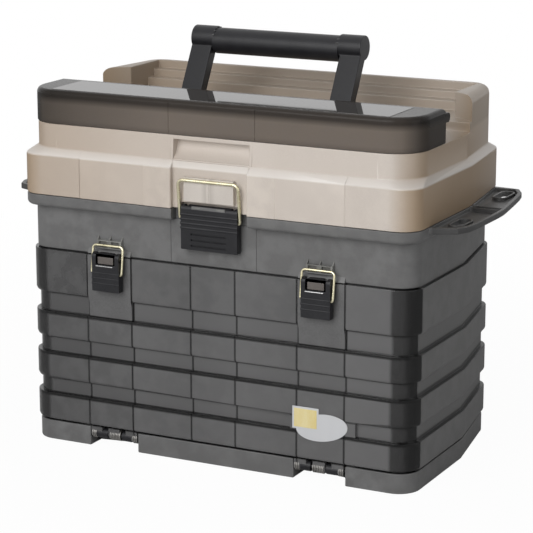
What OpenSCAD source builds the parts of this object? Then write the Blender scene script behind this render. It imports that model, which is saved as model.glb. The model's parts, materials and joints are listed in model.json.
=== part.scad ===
// Tackle cabinet: a banded cabinet with four drawers behind a drop-down smoke door, a bulk tub with
// side grips above them, and a hinged lid that carries a covered top tray and a folding handle.
// Units are millimetres. X is right, Y is to the back, Z is up; the origin is the middle of the
// underside. The modules measure Y from the front of the door bands, and placed() moves them there.

/* [Cabinet body] */
// Width over the raised bands at the front half
body_w = 455; // [440:1:480]
// Width over the raised bands at the rear wall
body_rear_w = 424; // [416:1:436]
// Depth from the front of the bands to the rear wall
body_d = 258; // [250:1:290]
// Distance from the front to the crease where the sides start to taper
crease_y = 140; // [120:1:160]
// Radius of the front corners
body_r = 26; // [22:1:34]
// Radius of the rear corners
body_rear_r = 24; // [20:1:32]
// How far a raised band stands out of the wall
band_proud = 4.5; // [3:0.5:6]
// Wall thickness of the cabinet shell
shell_wall = 3; // [2.5:0.5:4]
// Height of the plinth
plinth_h = 21.5; // [18:0.5:22]
// Inset of the plinth and the upper wall behind the band faces
plinth_inset = 2; // [1:0.5:3]
// Thickness of the floor under the drawers
bay_floor_t = 4.5; // [3:0.5:6]
// Thickness of the deck between the drawers and the tub
deck_t = 4; // [3:0.5:6]

/* [Door] */
// Height of the bottom edge of the door
door_z0 = 23; // [22.5:0.5:25]
// Height of the top edge of the door
door_z1 = 214.3; // [212:0.1:218]
// Thickness of the door
door_t = 2.6; // [2:0.1:3]
// How far the door wraps round the corners, from the front
door_wrap = 22; // [18:1:23]
// Height of the door hinge axis
door_hinge_z = 15; // [13:0.5:15]
// Distance of the door hinge axis behind the band faces
door_hinge_y = 6; // [5:0.5:7]
// Radius of the door hinge pins
door_pin_r = 2; // [1.5:0.25:2.5]
// Distance of the outer edge of each hinge notch from the side of the cabinet
notch_side = 75.5; // [62:0.5:82]
// Width of each hinge notch
notch_w = 59; // [50:1:66]
// Height of the top of the lowest band
band4_top = 54; // [50:0.5:58]
// Height of the bottom of the second band from below
band3_bottom = 70; // [66:0.5:74]
// Height of the top of the second band from below
band3_top = 100; // [96:0.5:104]
// Height of the bottom of the third band from below
band2_bottom = 116.5; // [112:0.5:120]
// Height of the top of the third band from below
band2_top = 145.5; // [142:0.5:150]
// Height of the bottom of the top band
band1_bottom = 166; // [160:0.5:170]
// Distance of the middle of the label pad from the side of the cabinet
label_side = 100.5; // [87:0.5:118]
// Width of the label
label_w = 62; // [50:1:70]
// Height of the label
label_h = 32; // [24:1:36]

/* [Drawers] */
// Distance of a drawer's side walls from the side of the cabinet, where it is narrowest
drawer_side = 20; // [19:0.5:27]
// Distance of the drawers' backs in front of the cabinet's rear face
drawer_back = 23; // [22:0.5:43]
// Height left between each drawer and the next
drawer_space = 4; // [3.5:0.5:6]
// Distance of the drawer fronts behind the band faces
drawer_y0 = 25; // [25:0.5:28]
// Height left under the lowest drawer and over the highest
drawer_margin = 3; // [2.5:0.25:4]
// Wall thickness of a drawer
drawer_wall = 2; // [1.6:0.2:3]
// Distance of the drawer partitions from the middle
partition_x = 65; // [50:1:80]
// Width of the side lip that a drawer hangs on
drawer_lip = 6; // [5:0.5:7]
// Thickness of the side lip and of the runner ledge
lip_t = 2.4; // [2:0.2:3]

/* [Flange and grips] */
// Height of the tub's wall, from the door to the flange
tub_h = 47.5; // [42:0.5:60]
// Thickness of the flange
flange_t = 12.5; // [11:0.5:15]
// Width of a side grip at its ends
grip_w = 34; // [30:0.5:38]
// Extra width of a side grip at its middle
grip_bulge = 2; // [1:0.5:5]
// Front end of the side grips
grip_y0 = 38; // [34:1:48]
// How far the front end of a side grip slants back, from the flange to its outer corner
grip_slant = 14; // [8:1:16]
// Distance of the rear end of the side grips in front of the lid's rear face
grip_back = 18; // [12:0.5:26]
// Width of the rim round a side grip
grip_rim = 4; // [3:0.5:5]
// Thickness of a side grip's floor
grip_floor = 2.5; // [2:0.5:3]
// Height of the rim of a side grip above the underside of its floor
grip_rim_h = 6.5; // [6:0.5:9]
// Distance of the middle of each slot from the end of the side grip
grip_slot_end = 32; // [28:1:42]
// Length of each slot in the side grips
grip_slot_len = 34; // [26:1:38]

/* [Lid] */
// How far the lid skirt stands out of the cabinet on each side, at the front half
lid_over = 2.5; // [0:0.5:10]
// How far the lid skirt stands out of the cabinet on each side, at the rear wall
lid_rear_over = 5; // [1:0.5:8]
// How far the lid skirt stands in front of the band faces
lid_front = 8; // [7:0.5:12]
// How far the lid skirt stands behind the cabinet's rear wall
lid_back = 10; // [6:1:18]
// Radius of the lid skirt's front corners
lid_r = 24; // [20:1:34]
// Height of the lid skirt, up to its chamfer
skirt_h = 43; // [40:0.5:50]
// Height of the chamfer
chamfer_h = 7; // [5:0.5:9]
// Height of the deck under the top cover above the chamfer
deck_rise = 26; // [24:0.5:34]
// Height of the hump at the back of the lid above the deck
hump_rise = 37; // [32:0.5:44]
// Wall thickness of the lid
lid_wall = 3; // [2.5:0.5:3.5]
// Half width of the latch channel in the front of the skirt
channel_x = 44; // [40:1:50]
// Depth of the latch channel
channel_d = 5; // [4:0.5:6]
// Depth of the chute over the latch channel, at its top
chute_d = 9.5; // [7:0.5:11]
// How far the front of each arm of the hump slants back, from the side of the lid inwards
arm_slant = 24; // [16:1:30]
// Depth of the lid hinge axis below the edge of the lid
lid_hinge_drop = 1; // [0.5:0.25:2]
// Radius of the lid hinge pins
lid_pin_r = 2.5; // [2:0.25:3]
// Distance of the middle of each lid hinge from the side of the lid
lid_hinge_side = 100; // [80:1:120]

/* [Top cover] */
// Distance of the rear face of the cover behind the band faces
cover_rear_y = 78; // [74:0.5:78]
// Height of the cover above the deck
cover_h = 36; // [32:0.5:42]
// Thickness of the cover
cover_t = 2.5; // [2:0.25:3]
// Depth of the cover hinge axis below the top of the cover
cover_hinge_drop = 10; // [8:0.5:12]
// Distance of the cover hinge axis behind the band faces
cover_hinge_y = 84; // [83.5:0.5:86]
// Radius of the cover hinge studs
cover_pin_r = 2.5; // [2:0.25:3]
// Depth of the top tray below the deck
tray_depth = 27; // [20:0.5:27]

/* [Handle] */
// Distance of the handle pivot behind the band faces
handle_y = 118.5; // [117:0.5:121]
// Height of the handle pivot above the deck
handle_rise = 12; // [10:0.5:14]
// Lean of the handle to the back, in degrees
handle_lean = 29; // [20:1:35]
// Distance from the pivot to the middle of the grip
handle_len = 77; // [72:0.5:78]
// Outer half width of the handle
handle_x = 101; // [96:0.5:104]
// Width of a handle arm
arm_w = 24.5; // [20:0.5:28]
// Thickness of a handle arm
arm_t = 13; // [10:0.5:14]
// Radius of the handle grip
grip_r = 12.5; // [11:0.5:13]
// Radius of the handle pivot pins
handle_pin_r = 3; // [2.5:0.25:3.5]

/* [Latches] */
// Half width of the centre latch lever
big_x = 33; // [28:0.5:36]
// Length of the centre latch lever, below its pivot
big_len = 42; // [38:0.5:45]
// Distance of the centre bail's pivot below the lever's pivot
big_bail_drop = 10; // [8:0.5:14]
// Height of the top of the centre latch bail above the lever's pivot
big_bail_h = 33; // [30:0.5:36]
// Half width of a door latch lever
small_x = 16.5; // [14:0.5:19]
// Distance of the middle of the door latches from the side of the cabinet
small_side = 104.5; // [99:0.5:110]
// Length of the door latch levers, below their pivots
small_len = 37; // [33:0.5:41]
// Distance of the door bails' pivots below the levers' pivots
small_bail_drop = 18; // [16:0.5:21]
// Height of the top of the door latch bails above the levers' pivots
small_bail_h = 13; // [11:0.5:16]
// Radius of the rounded head of a latch lever, round its pivot
head_r = 5.1; // [4.9:0.1:5.4]
// Width of a latch lever's cheeks
lever_wall = 3; // [2.5:0.25:3.5]
// Thickness of the front wall of a latch lever
lever_front = 2.2; // [1.8:0.1:2.3]
// Radius of the ears that carry a latch lever's pin
ear_r = 2.6; // [2.4:0.1:2.7]
// Height of the lower edge of the door latch keepers above the levers' pivots
small_keeper_rise = 8; // [7.5:0.5:9]
// Radius of the bail wire on the door latches
small_wire_r = 1.1; // [0.9:0.05:1.3]
// Radius of the bail wire on the centre latch
big_wire_r = 1.4; // [1.2:0.05:1.6]
// Radius of the latch pivot pins
latch_pin_r = 1.5; // [1.25:0.05:1.75]

/* [Fits] */
// Radial clearance of a turning pin in its hole
run_gap = 0.05; // [0.02:0.01:0.1]
// Clearance between pieces that move past each other
gap = 0.5; // [0.4:0.05:0.7]
// Clearance under a piece that rests on another
seat_gap = 0.3; // [0.2:0.05:0.4]

/* [Hidden] */
$fn = 40;
over = 1;
arc_steps = 8;
smoke = [0.33, 0.32, 0.32];
graphite = [0.42, 0.42, 0.41];
champagne = [0.76, 0.70, 0.62];
black = [0.14, 0.14, 0.15];
brass = [0.86, 0.78, 0.50];
steel = [0.75, 0.75, 0.75];
bands = [[door_z0, band4_top], [band3_bottom, band3_top], [band2_bottom, band2_top], [band1_bottom, door_z1]];
lid_w = body_w + 2 * lid_over;
lid_rear_w = body_rear_w + 2 * lid_rear_over;
lid_rear_y = body_d + lid_back;
drawer_w = min(body_w, body_rear_w) - 2 * drawer_side;
drawer_d = body_d - drawer_back - drawer_y0;
notch_x1 = body_w / 2 - notch_side;
notch_x0 = notch_x1 - notch_w;
notch_d = door_hinge_y + 6.5;
notch_wall = 9;
pin_seat = 6;
label_x = body_w / 2 - label_side;
label_pad = 6;
small_at = body_w / 2 - small_side;
jamb_inset = band_proud + door_t + gap;
jamb_y = 15;
sill = 4;
bay_inset = band_proud + shell_wall;
upper_z = door_z1 + 1.2;
upper_inset = plinth_inset + 1;
bay_top = upper_z - 1.5;
floor_z = plinth_h + bay_floor_t;
tub_z = bay_top + deck_t;
drawers = 4;
drawer_z0 = floor_z + drawer_margin;
drawer_pitch = (bay_top - drawer_margin - drawer_z0 + drawer_space) / drawers;
drawer_h = drawer_pitch - drawer_space;
pull_x = 40;
pull_y = 6;
pull_drop = 14;
lid_rear_r = body_rear_r + 2;
flange_z0 = upper_z + tub_h;
flange_z1 = flange_z0 + flange_t;
lid_z0 = flange_z1 + gap;
skirt_top = lid_z0 + skirt_h;
chamfer_top = skirt_top + chamfer_h;
deck_z = chamfer_top + deck_rise;
hump_z = deck_z + hump_rise;
cover_top = deck_z + cover_h;
cover_hinge_z = cover_top - cover_hinge_drop;
handle_z = deck_z + handle_rise;
big_pivot_z = lid_z0;
big_z0 = big_pivot_z - big_len;
big_bail_z = big_pivot_z - big_bail_drop;
big_bail_top = big_pivot_z + big_bail_h;
small_pivot_z = door_z1 + 0.7;
small_z0 = small_pivot_z - small_len;
small_bail_z = small_pivot_z - small_bail_drop;
small_bail_top = small_pivot_z + small_bail_h;
small_keeper_z = small_pivot_z + small_keeper_rise;
lid_hinge_z = lid_z0 - lid_hinge_drop;
upper_side = 5;
upper_front = lid_front - 0.5;
upper_rear = 14;
upper_r = 38;
latch_y = upper_inset;
relief_y = latch_y + gap;
relief_z = big_pivot_z + head_r + 1.5;
chute_y = upper_front - lid_front + chute_d;
chute_z = deck_z - 4;
chute_run = chute_y + lid_front - channel_d;
chute_r = (pow(chute_run, 2) + pow(chute_z - chamfer_top, 2)) / (2 * chute_run);
chute_end = asin((chute_z - chamfer_top) / chute_r);
knuckle_r = 5;
lid_hinge_y = lid_rear_y + knuckle_r + 0.6;
lid_hinge_x = lid_w / 2 - lid_hinge_side;
lid_knuckle = 22;
knuckle = 18;
knuckle_at = (lid_knuckle + knuckle) / 2 + gap;
lid_pin_x = knuckle_at + knuckle / 2 + gap;
knuckle_block = 8;
grip_y1 = lid_rear_y - grip_back;
grip_z0 = flange_z1 - grip_rim_h;
grip_mid = (grip_y0 + grip_y1) / 2;
grip_slot_y = (grip_y1 - grip_y0) / 2 - grip_slot_end;
slot_r = 6;
slot_rim = 2.5;
runner_x = drawer_w / 2 + drawer_lip + 1.5;
runner_t = 3;
tray_x = lid_w / 2 - 25;
tray_y0 = 15;
tray_y1 = cover_rear_y - tray_y0;
arm_y = 152;
arm_x = lid_w / 2 - 34;
side_shelf_z = deck_z + 10;
lug_t = 7;
handle_lug_r = 9;
cover_lug_r = 4.5;
pocket_x = handle_x + lug_t;
pocket_y = 150;
step1_y = lid_rear_y - 54;
step2_y = lid_rear_y - 40;
step3_y = lid_rear_y - 28;
step1_z = hump_z - 17;
step2_z = hump_z - 9;
far = lid_w;

// A round stretch of an outline
function arc(cx, cy, r, a0, a1) =
    [for (i = [0:arc_steps]) let (a = a0 + (a1 - a0) * i / arc_steps) [cx + r * cos(a), cy + r * sin(a)]];
// The right half of a plan outline, from the front to the back
function half_plan(w, wr, y0, y1, rf, rr) =
    concat(arc(w - rf, y0 + rf, rf, -90, 0), [[w, crease_y]], arc(wr - rr, y1 - rr, rr, 0, 90));
// A whole plan outline, symmetric about X = 0
function plan(w, wr, y0, y1, rf, rr) =
    let (h = half_plan(w, wr, y0, y1, rf, rr), n = len(h))
    concat(h, [for (i = [n - 1:-1:0]) [-h[i][0], h[i][1]]]);
// Outline of the cabinet, inset from the band faces
function body_plan(e) =
    plan(body_w / 2 - e, body_rear_w / 2 - e, e, body_d - e, body_r - e, body_rear_r - e);
// Outline of the lid skirt and of the flange, inset from the skirt's face
function lid_plan(e) =
    plan(lid_w / 2 - e, lid_rear_w / 2 - e, e - lid_front, lid_rear_y - e, lid_r - e, lid_rear_r - e);
// Outline of the lid above its chamfer
function upper_plan(e) =
    plan(lid_w / 2 - upper_side - e, lid_rear_w / 2 - upper_side - e, upper_front - lid_front + e,
        lid_rear_y - upper_rear - e, upper_r - e, lid_rear_r - 1 - e);
// Half width of the flange at a distance from the front
function flange_x(y) =
    y < crease_y ? lid_w / 2
    : lid_w / 2 - (lid_w - lid_rear_w) / 2 * (y - crease_y) / (lid_rear_y - lid_rear_r - crease_y);
// Outer edge of a side grip, inset from its rim
function grip_edge(e) =
    [for (i = [0:14]) let (t = i / 14, y = grip_y0 + e + (grip_y1 - grip_y0 - 2 * e) * t)
        [flange_x(y) + grip_w - e + grip_bulge * sin(180 * t) - 7 * pow(abs(2 * t - 1), 12), y]];
// Outline of a side grip, inset from its rim, from the flange outwards
function grip_plan(e) =
    concat([[flange_x(grip_y0) - 6 + 6 * min(e, 1), grip_y0 - grip_slant + 2 * e]], grip_edge(e),
        [[flange_x(grip_y1) - 6 + 6 * min(e, 1), grip_y1 + 3 - 2 * e]]);

module slab(z0, z1, outline) {
    translate([0, 0, z0]) linear_extrude(z1 - z0) polygon(outline);
}

module box(x0, x1, y0, y1, z0, z1) {
    translate([x0, y0, z0]) cube([x1 - x0, y1 - y0, z1 - z0]);
}

module mirrored() {
    children();
    mirror([1, 0, 0]) children();
}

// A cylinder along X
module xrod(x0, x1, y, z, r) {
    translate([x0, y, z]) rotate([0, 90, 0]) cylinder(r = r, h = x1 - x0);
}

// A straight length of wire between two points of one YZ plane
module wire(x, y0, z0, y1, z1, r) {
    translate([x, y0, z0]) rotate([-atan2(y1 - y0, z1 - z0), 0, 0])
        cylinder(r = r, h = norm([y1 - y0, z1 - z0]));
}

module base_plinth() {
    color(graphite) difference() {
        union() {
            difference() {
                slab(0, plinth_h, body_plan(plinth_inset));
                slab(4, plinth_h + over, body_plan(plinth_inset + shell_wall));
            }
            for (y = [0.23, 0.7] * body_d) box(-drawer_w / 2, drawer_w / 2, y, y + shell_wall, 0, plinth_h);
            mirrored() box(notch_x0 - notch_wall, notch_x1 + notch_wall, plinth_inset, notch_d + 5.5,
                0, plinth_h);
        }
        mirrored() {
            box(notch_x0, notch_x1, -over, notch_d, -over, plinth_h + over);
            xrod(notch_x0 - pin_seat, notch_x1 + pin_seat, door_hinge_y, door_hinge_z, door_pin_r);
        }
    }
}

module bay_floor() {
    color(graphite) difference() {
        slab(plinth_h, floor_z, body_plan(jamb_inset));
        translate([0, 0, plinth_h - over]) linear_extrude(bay_floor_t + 2 * over) difference() {
            translate([-body_w, jamb_y]) square([2 * body_w, 2 * body_d]);
            polygon(body_plan(bay_inset + sill));
        }
    }
}

module housing() {
    color(graphite) difference() {
        union() {
            difference() {
                union() {
                    slab(plinth_h, upper_z, body_plan(band_proud));
                    for (b = bands) slab(b[0], b[1], body_plan(0));
                }
                box(-body_w, body_w, -body_d, door_wrap + gap, 0, flange_z1);
            }
            difference() {
                slab(plinth_h, upper_z, body_plan(jamb_inset));
                box(-body_w, body_w, -body_d, jamb_y, 0, bay_top);
            }
            slab(upper_z, flange_z0, body_plan(upper_inset));
        }
        slab(plinth_h - over, bay_top, body_plan(bay_inset + sill));
        difference() {
            slab(plinth_h - over, bay_top, body_plan(bay_inset));
            box(-body_w, body_w, -body_d, 2 * jamb_y, 0, bay_top + over);
            box(-body_w, body_w, -body_d, 2 * body_d, 0, floor_z);
        }
        box(-body_w / 2 + jamb_inset + shell_wall, body_w / 2 - jamb_inset - shell_wall, 0, 4 * jamb_y,
            plinth_h - over, bay_top);
        slab(tub_z, flange_z0 + over, body_plan(upper_inset + shell_wall));
    }
}

module grip_side() {
    difference() {
        slab(grip_z0, flange_z1, grip_plan(0));
        difference() {
            slab(grip_z0 + grip_floor, flange_z1 + over, grip_plan(grip_rim));
            for (s = [-1, 1])
                box(0, lid_w, grip_mid + s * 5 - grip_floor / 2, grip_mid + s * 5 + grip_floor / 2,
                    grip_z0, flange_z1);
            for (s = [-1, 1]) translate([grip_slot_x(s), slot_y(s), grip_z0])
                slot(grip_rim_h - 0.5, slot_r + slot_rim);
        }
        for (s = [-1, 1]) translate([grip_slot_x(s), slot_y(s), grip_z0 - over])
            slot(2 * grip_rim_h, slot_r);
    }
}
function slot_y(s) = grip_mid + s * grip_slot_y;
function grip_slot_x(s) = flange_x(slot_y(s)) + grip_w / 2;

// An oval prism along Y, for the slots and for the rims round them
module slot(h, r) {
    len = grip_slot_len / 2 - slot_r;
    linear_extrude(h) {
        translate([0, -len]) circle(r);
        translate([0, len]) circle(r);
        translate([-r, -len]) square([2 * r, 2 * len]);
    }
}

module hinge_knuckle(x0, x1, z0, z1) {
    xrod(x0, x1, lid_hinge_y, lid_hinge_z, knuckle_r);
    box(x0, x1, lid_rear_y - 3, lid_hinge_y, z0, z1);
}

module grip_flange() {
    color(graphite) difference() {
        union() {
            slab(flange_z0, flange_z1, lid_plan(0));
            mirrored() grip_side();
            mirrored() for (s = [-1, 1]) difference() {
                hinge_knuckle(lid_hinge_x + s * knuckle_at - knuckle / 2,
                    lid_hinge_x + s * knuckle_at + knuckle / 2, lid_hinge_z - knuckle_r, lid_hinge_z);
                box(0, lid_w, lid_rear_y - 2 * knuckle_r, lid_rear_y, flange_z1, lid_z0 + over);
            }
        }
        slab(flange_z0 - over, flange_z1 + over, body_plan(upper_inset + shell_wall));
        box(-channel_x, channel_x, -lid_front - over, latch_y, flange_z0 - over, flange_z1 + over);
        mirrored() xrod(lid_hinge_x - 2 * lid_pin_x, lid_hinge_x + 2 * lid_pin_x,
            lid_hinge_y, lid_hinge_z, lid_pin_r);
    }
}

module runner(side) {
    color(graphite) mirror([side < 0 ? 1 : 0, 0, 0]) {
        box(runner_x, runner_x + runner_t, drawer_y0 + pull_y, drawer_y0 + drawer_d, floor_z, bay_top);
        for (i = [0:drawers - 1]) {
            top = drawer_z0 + i * drawer_pitch + drawer_h - lip_t - seat_gap;
            box(drawer_w / 2 + 1.5, runner_x + over, drawer_y0 + pull_y, drawer_y0 + drawer_d,
                top - lip_t, top);
        }
    }
}

module door_pin(side) {
    color(steel) mirror([side < 0 ? 1 : 0, 0, 0])
        xrod(notch_x0 - pin_seat, notch_x1 + pin_seat, door_hinge_y, door_hinge_z, door_pin_r);
}

module lid_pin(side) {
    color(steel) xrod(side * lid_hinge_x - lid_pin_x, side * lid_hinge_x + lid_pin_x,
        lid_hinge_y, lid_hinge_z, lid_pin_r);
}

small_keeper_y = -2;
small_keeper_x = small_x - 1.5;
keeper_bar = 3;
module keeper(side) {
    top = small_bail_top + 4;
    color(graphite) translate([side * small_at, 0, 0]) difference() {
        box(-small_keeper_x, small_keeper_x, small_keeper_y, latch_y, small_keeper_z, top);
        mirrored() box(keeper_bar, small_keeper_x - keeper_bar, small_keeper_y - over, gap,
            small_keeper_z + keeper_bar / 2, top - keeper_bar / 2);
    }
}

// Values of a latch: half width, lower end, pivot height, bail pivot height, bail top, wire radius,
// face it is fixed to, front of its keeper
big = [big_x, big_z0, big_pivot_z, big_bail_z, big_bail_top, big_wire_r, latch_y, -lid_front];
small = [small_x, small_z0, small_pivot_z, small_bail_z, small_bail_top, small_wire_r, 0, small_keeper_y];
bend_over = 0.08;
plate_t = 1.2;
ear_t = 3;
ear_gap = 0.4;
big_keeper_inset = 4;
big_keeper_foot = 9;
bracket_h = 16;
bail_step = 1.9;
function pivot_y(l) = l[6] - head_r - gap;
function bail_y(l) = pivot_y(l) - bail_step;
function wire_y(l) = l[7] - seat_gap - l[5];
function ear_x(l) = l[0] - lever_wall - ear_t - 1.5;

// Bracket plate with two ears that carry the lever's pivot pin
module bracket(l) {
    foot = l[2] - bracket_h;
    color(black) difference() {
        union() {
            box(-ear_x(l), ear_x(l), l[6] - plate_t, l[6], foot, l[2] - head_r - seat_gap);
            for (x0 = [-ear_x(l) - ear_t, ear_x(l)]) {
                box(x0, x0 + ear_t, pivot_y(l), l[6], foot, l[2] + gap);
                xrod(x0, x0 + ear_t, pivot_y(l), l[2], ear_r);
            }
        }
        xrod(-l[0], l[0], pivot_y(l), l[2], latch_pin_r + run_gap);
    }
}

module lever(l) {
    y0 = pivot_y(l) - head_r;
    y1 = l[6] - plate_t - gap;
    color(black) difference() {
        union() {
            box(-l[0], l[0], y0, y1, l[1], l[2]);
            xrod(-l[0], l[0], pivot_y(l), l[2], head_r);
        }
        box(-l[0] + lever_wall, l[0] - lever_wall, y0 + lever_front, l[6] + over,
            l[1] + lever_front, l[2] + ear_r + seat_gap);
        for (x0 = [-ear_x(l) - ear_t, ear_x(l)])
            box(x0 - ear_gap, x0 + ear_t + ear_gap, y0 + lever_front, l[6] + over,
                l[2], l[2] + head_r + over);
        xrod(-l[0] - over, l[0] + over, pivot_y(l), l[2], latch_pin_r);
        xrod(-l[0] - over, l[0] + over, bail_y(l), l[3], l[5] + run_gap);
    }
}

module lever_pin(l) {
    color(steel) xrod(-l[0] + 0.2, l[0] - 0.2, pivot_y(l), l[2], latch_pin_r);
}

module bail(l) {
    r = l[5];
    x = l[0] + gap + r;
    y = wire_y(l);
    z = l[4] - r;
    color(brass) {
        xrod(-x, x, y, z, r);
        for (s = [-1, 1]) {
            translate([s * x, y, z]) sphere(r + bend_over);
            translate([s * x, bail_y(l), l[3]]) sphere(r + bend_over);
            wire(s * x, bail_y(l), l[3], y, z, r);
            xrod(s > 0 ? l[0] - lever_wall + 0.3 : -x, s > 0 ? x : -l[0] + lever_wall - 0.3,
                bail_y(l), l[3], r);
        }
    }
}

// The stepped solid of the lid above its chamfer, grown inwards by e for the hollow
module lid_steps(e) {
    slab(chamfer_top - over, deck_z - e, upper_plan(e));
    lid_step(e, side_shelf_z, pocket_x, pocket_y);
    lid_step(e, step1_z, -far, step1_y);
    lid_step(e, step2_z, -far, step2_y);
    lid_step(e, hump_z, -far, step3_y);
    lid_step(e, hump_z, arm_x, arm_y, arm_slant);
}

module lid_step(e, top, x0, y0, slant = 0) {
    x = x0 + (x0 > 0 ? e : 0);
    mirrored() translate([0, 0, chamfer_top]) linear_extrude(top - e - chamfer_top) intersection() {
        polygon(upper_plan(e));
        polygon([[x, y0 + slant + e], [lid_w / 2, y0 + e], [lid_w / 2, 2 * far], [x, 2 * far]]);
    }
}

// The round of the chute over the latch channel, as Y and Z points, grown by e
function chute_arc(e) = arc(chute_y - chute_r, chute_z, chute_r + e, -chute_end, 0);

// A shape that is drawn as Y and Z points, across the middle of the lid
module across(half, points) {
    translate([-half, 0, 0]) rotate([90, 0, 90]) linear_extrude(2 * half) polygon(points);
}

module lid_hollow() {
    slab(lid_z0 - over, skirt_top, lid_plan(lid_wall));
    hull() {
        slab(skirt_top - over, skirt_top - over / 2, lid_plan(lid_wall));
        slab(chamfer_top - 0.6, chamfer_top - 0.5, upper_plan(lid_wall));
    }
    lid_steps(lid_wall);
}

module lid() {
    color(champagne) difference() {
        union() {
            difference() {
                union() {
                    slab(lid_z0, skirt_top, lid_plan(0));
                    hull() {
                        slab(skirt_top - over, skirt_top, lid_plan(0));
                        slab(chamfer_top - 0.1, chamfer_top, upper_plan(0));
                    }
                    lid_steps(0);
                }
                lid_hollow();
            }
            box(-channel_x - lid_wall, channel_x + lid_wall, -lid_front + 1, channel_d + lid_wall - lid_front,
                lid_z0, skirt_top);
            box(-big_x - lid_wall - 1.5, big_x + lid_wall + 1.5, -lid_front + 1, relief_y + lid_wall,
                lid_z0, relief_z + lid_wall);
            box(-channel_x, channel_x, channel_d - lid_front, channel_d + lid_wall - lid_front,
                skirt_top - over, chamfer_top);
            across(channel_x + lid_wall, [[over - lid_front, skirt_top - over], [over - lid_front, skirt_top],
                [upper_front + over - lid_front, chamfer_top],
                [channel_d + lid_wall + over - lid_front, chamfer_top],
                [channel_d + lid_wall + over - lid_front, skirt_top - over]]);
            across(channel_x + lid_wall, concat(chute_arc(lid_wall), [[chute_y + lid_wall, deck_z - over],
                [upper_front - lid_front, deck_z - over]]));
            box(-tray_x - lid_wall, tray_x + lid_wall, tray_y0 - lid_wall, tray_y1 + lid_wall,
                deck_z - tray_depth - lid_wall, deck_z - over);
            mirrored() {
                hinge_knuckle(lid_hinge_x - lid_knuckle / 2, lid_hinge_x + lid_knuckle / 2,
                    lid_z0, lid_z0 + knuckle_block);
                cover_lug();
                handle_lug();
            }
        }
        box(-channel_x, channel_x, -lid_front - over, channel_d - lid_front, lid_z0 - over, chamfer_top);
        across(channel_x, concat(chute_arc(0), [[-lid_front - over, chute_z],
            [-lid_front - over, chamfer_top - over], [channel_d - lid_front, chamfer_top - over]]));
        box(-big_x - 1.5, big_x + 1.5, -lid_front - over, relief_y, lid_z0 - over, relief_z);
        box(-tray_x, tray_x, tray_y0, tray_y1, deck_z - tray_depth, deck_z + over);
        mirrored() {
            xrod(lid_hinge_x - lid_knuckle, lid_hinge_x + lid_knuckle, lid_hinge_y, lid_hinge_z,
                lid_pin_r + run_gap);
            xrod(handle_x + 1, handle_x + 1 + lug_t + over, handle_y, handle_z, handle_pin_r);
        }
    }
}

cover_x = lid_w / 2 - upper_side + 1;
cover_lobe_x = cover_x - cover_t - 5;
module cover_lug() {
    box(cover_lobe_x - gap - lug_t, cover_lobe_x - gap, cover_hinge_y - cover_lug_r,
        cover_hinge_y + cover_lug_r, deck_z - over, cover_hinge_z);
    xrod(cover_lobe_x - gap - lug_t, cover_lobe_x - gap, cover_hinge_y, cover_hinge_z, cover_lug_r);
    xrod(cover_lobe_x - 1, cover_x - cover_t - 0.6, cover_hinge_y, cover_hinge_z, cover_pin_r);
}

module handle_lug() {
    box(handle_x + 1, handle_x + 1 + lug_t, handle_y - handle_lug_r, handle_y + handle_lug_r,
        deck_z - over, handle_z);
    xrod(handle_x + 1, handle_x + 1 + lug_t, handle_y, handle_z, handle_lug_r);
}

module lid_keeper() {
    x = big_x - big_keeper_inset;
    color(champagne) box(-x, x, -lid_front, channel_d - lid_front, lid_z0 + big_keeper_foot,
        big_bail_top + big_wire_r);
}

module handle_pin(side) {
    color(steel) mirror([side < 0 ? 1 : 0, 0, 0])
        xrod(handle_x - arm_w + 3, handle_x + 1 + lug_t, handle_y, handle_z, handle_pin_r);
}

function cover_plan(e) =
    let (w = cover_x - e, y0 = upper_front - lid_front + e, r = upper_r - e,
        h = concat(arc(w - r, y0 + r, r, -90, 0), [[w, cover_rear_y - e]]), n = len(h))
    concat(h, [for (i = [n - 1:-1:0]) [-h[i][0], h[i][1]]]);
module top_cover() {
    bottom = deck_z + seat_gap;
    color(smoke) difference() {
        union() {
            difference() {
                slab(bottom, cover_top, cover_plan(0));
                slab(bottom - over, cover_top - cover_t, cover_plan(cover_t));
            }
            mirrored() {
                box(cover_lobe_x, cover_x, cover_rear_y - cover_t, cover_hinge_y,
                    cover_hinge_z - 5, cover_hinge_z + 5);
                xrod(cover_lobe_x, cover_x, cover_hinge_y, cover_hinge_z, 5);
            }
        }
        mirrored() xrod(cover_lobe_x - over, cover_x - cover_t, cover_hinge_y, cover_hinge_z,
            cover_pin_r + run_gap);
    }
}

// Places what follows at the handle's lean, with its pivot at the origin of the YZ plane
module leaning() {
    translate([0, handle_y, handle_z]) rotate([-handle_lean, 0, 0]) children();
}

module handle_arm(side) {
    x0 = handle_x - arm_w;
    color(black) mirror([side < 0 ? 1 : 0, 0, 0]) leaning() difference() {
        union() {
            box(x0, handle_x, -arm_t / 2, arm_t / 2, 0, handle_len);
            xrod(x0, handle_x, 0, 0, arm_t / 2 + 1);
            xrod(x0 - 3, handle_x, 0, handle_len, grip_r + 0.8);
        }
        xrod(x0 - over, handle_x + over, 0, 0, handle_pin_r + run_gap);
    }
}

module handle_grip() {
    x = handle_x - arm_w - 3;
    color(black) leaning() xrod(-x, x, 0, handle_len, grip_r);
}

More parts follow.
